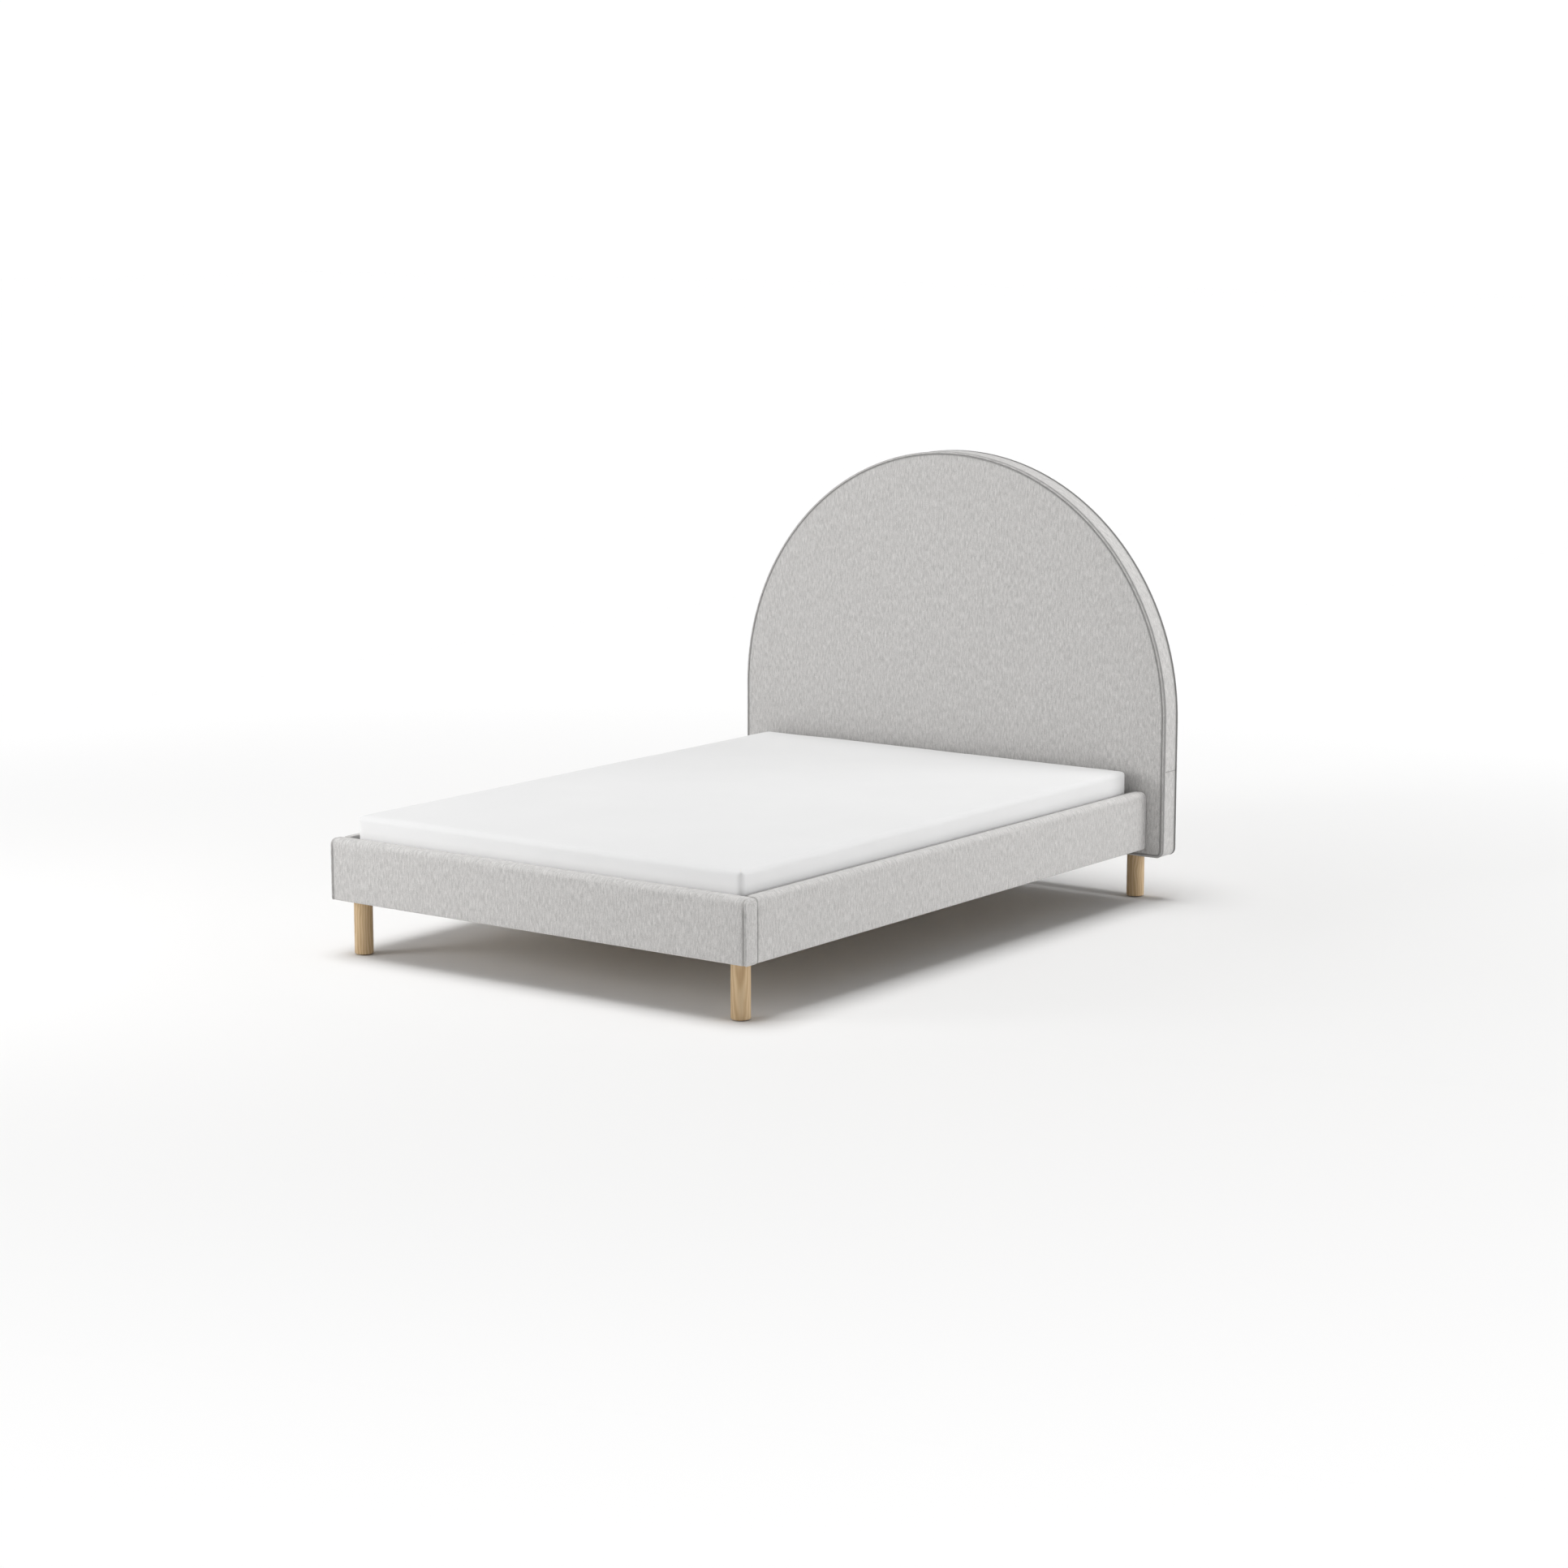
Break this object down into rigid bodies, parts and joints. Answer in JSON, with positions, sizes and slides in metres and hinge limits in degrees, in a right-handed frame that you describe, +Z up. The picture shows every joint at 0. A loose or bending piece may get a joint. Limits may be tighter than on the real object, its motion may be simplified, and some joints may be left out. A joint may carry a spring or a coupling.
{
  "type": "upholstered platform bed",
  "caption": "Platform bed with a tall arched upholstered headboard, padded low rails, round wooden legs, a slatted base and a plain white mattress.",
  "frame": {"origin": "on the floor, under the middle of the bed's overall length and width", "axes": "+X across the bed to the right seen from the foot, +Y from the footboard towards the headboard, +Z up"},
  "size_m": [1.62, 2.169, 1.3718],
  "materials": {
    "upholstery_cloth": "matte",
    "piping_cloth": "matte",
    "foam": "matte",
    "plywood": "matte",
    "pine": "matte",
    "leg_wood": "satin",
    "slat_wood": "matte",
    "black_steel": "satin",
    "plated_steel": "satin",
    "glide_plastic": "matte",
    "webbing": "matte",
    "mattress_cloth": "matte"
  },
  "bodies": {
    "frame": {"left_rail_board": "pine", "right_rail_board": "pine", "left_rail_foam": "foam", "right_rail_foam": "foam", "left_rail_cover": "upholstery_cloth", "right_rail_cover": "upholstery_cloth", "footboard_board": "pine", "footboard_foam": "foam", "footboard_cover": "upholstery_cloth", "footboard_end_covers": "upholstery_cloth", "headboard_front_board": "plywood", "headboard_left_post": "pine", "headboard_right_post": "pine", "headboard_cross_battens": "pine", "headboard_arch_former": "plywood", "headboard_back_board": "plywood", "headboard_front_foam": "foam", "headboard_edge_foam": "foam", "headboard_back_foam": "foam", "headboard_front_cover": "upholstery_cloth", "headboard_edge_cover": "upholstery_cloth", "headboard_back_cover": "upholstery_cloth", "headboard_front_piping": "piping_cloth", "headboard_back_piping": "piping_cloth", "left_ledge": "pine", "right_ledge": "pine", "ledge_screws": "plated_steel", "left_corner_block": "pine", "right_corner_block": "pine", "corner_bolts": "plated_steel", "left_head_bracket": "black_steel", "right_head_bracket": "black_steel", "head_bracket_bolts": "plated_steel", "middle_beam": "pine", "beam_hangers": "black_steel", "hanger_screws": "plated_steel", "middle_leg": "leg_wood", "middle_leg_plate": "black_steel", "front_left_leg": "leg_wood", "front_right_leg": "leg_wood", "back_left_leg": "leg_wood", "back_right_leg": "leg_wood", "leg_bolts": "plated_steel", "leg_glides": "glide_plastic", "slat_straps": "webbing", "slat_1": "slat_wood", "slat_2": "slat_wood", "slat_3": "slat_wood", "slat_4": "slat_wood", "slat_5": "slat_wood", "slat_6": "slat_wood", "slat_7": "slat_wood", "slat_8": "slat_wood", "slat_9": "slat_wood", "slat_10": "slat_wood", "slat_11": "slat_wood", "slat_12": "slat_wood"},
    "mattress": {"mattress_core": "foam", "mattress_cover": "mattress_cloth"}
  },
  "joints": [
    {"name": "mattress_lift", "type": "slide", "parent": "frame", "child": "mattress", "axis": [0, 0, 1], "range_m": [0, 0.35]}
  ]
}
